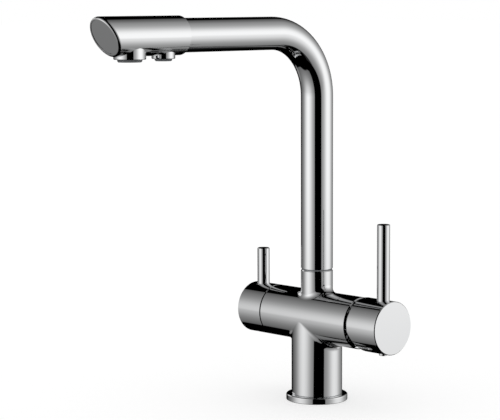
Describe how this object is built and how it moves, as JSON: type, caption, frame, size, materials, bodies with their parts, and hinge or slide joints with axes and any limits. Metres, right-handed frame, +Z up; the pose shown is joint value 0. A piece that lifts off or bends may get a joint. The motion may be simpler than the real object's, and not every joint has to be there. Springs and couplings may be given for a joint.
{
  "type": "kitchen mixer tap",
  "caption": "Single-hole three-way kitchen mixer tap: barrel body on a round column, side lever mixer, quarter-turn filter valve and tall swivel spout with separate outlets.",
  "frame": {"origin": "centre of the base ring on the worktop, on the column and swivel axis", "axes": "+Z up along the column, -Y along the spout toward the sink, +X along the barrel toward the mixer lever"},
  "size_m": [0.1686, 0.2708, 0.3385],
  "materials": {
    "polished_chrome": "mirror-polished chrome on brass",
    "brass": "machined",
    "stainless_steel": "machined stainless steel",
    "black_rubber": "matt",
    "grey_plastic": "moulded",
    "white_plastic": "moulded",
    "food_grade_plastic": "smooth hose",
    "white_ceramic": "lapped alumina ceramic, opaque"
  },
  "bodies": {
    "body": {"body_casting": "polished_chrome", "inlet_block": "brass", "base_ring": "polished_chrome", "base_gasket": "black_rubber", "spout_slip_ring": "grey_plastic", "spout_retaining_screw": "stainless_steel", "cartridge_housing": "grey_plastic", "cartridge_base": "grey_plastic", "cartridge_seals": "black_rubber", "cartridge_fixed_disc": "white_ceramic", "cartridge_nut": "brass", "cartridge_cover": "polished_chrome", "headwork_body": "brass", "headwork_seal": "black_rubber", "headwork_fixed_disc": "white_ceramic", "headwork_seat_washer": "black_rubber"},
    "spout": {"spout_tube": "polished_chrome", "spout_connector": "brass", "spout_orings": "black_rubber", "filter_water_tube": "food_grade_plastic", "filter_tube_nipple": "brass", "nipple_orings": "black_rubber", "head_sleeve": "polished_chrome", "head_end_cap": "polished_chrome", "outlet_block": "white_plastic", "main_outlet_collar": "polished_chrome", "main_aerator_housing": "grey_plastic", "main_aerator_insert": "white_plastic", "main_aerator_washer": "black_rubber", "filter_outlet_collar": "polished_chrome", "filter_aerator_housing": "grey_plastic", "filter_aerator_insert": "white_plastic", "filter_aerator_washer": "black_rubber"},
    "mixer_rotor": {"cartridge_rotor": "white_plastic", "cartridge_pivot_pin": "stainless_steel"},
    "mixer_disc": {"cartridge_moving_disc": "white_ceramic", "cartridge_disc_carrier": "white_plastic"},
    "mixer_lever": {"cartridge_stem": "brass", "mixer_handle": "polished_chrome", "mixer_lever_pin": "polished_chrome", "mixer_grub_screw": "stainless_steel", "mixer_screw_plug": "polished_chrome"},
    "filter_lever": {"filter_handle": "polished_chrome", "filter_lever_pin": "polished_chrome", "filter_grub_screw": "stainless_steel", "filter_screw_plug": "polished_chrome", "headwork_spindle": "brass", "headwork_moving_disc": "white_ceramic", "spindle_oring": "black_rubber", "spindle_clip": "stainless_steel"}
  },
  "joints": [
    {"name": "spout_swivel", "type": "hinge", "parent": "body", "child": "spout", "pos_m": [0, 0, 0.1154], "axis": [0, 0, 1], "continuous": true},
    {"name": "mixer_temperature", "type": "hinge", "parent": "body", "child": "mixer_rotor", "pos_m": [0.038, 0, 0.074], "axis": [1, 0, 0], "range_deg": [-50, 50]},
    {"name": "mixer_flow", "type": "hinge", "parent": "mixer_rotor", "child": "mixer_lever", "pos_m": [0.038, 0, 0.074], "axis": [0, 1, 0], "range_deg": [0, 22]},
    {"name": "disc_slide", "type": "slide", "parent": "mixer_rotor", "child": "mixer_disc", "axis": [0, 0, 1], "range_m": [0, 0.00295]},
    {"name": "filter_turn", "type": "hinge", "parent": "body", "child": "filter_lever", "pos_m": [-0.0554, 0, 0.074], "axis": [1, 0, 0], "range_deg": [0, 90]}
  ],
  "couplings": [
    {"joint": "disc_slide", "follows": "mixer_flow", "m_per_rad": 0.00761}
  ]
}
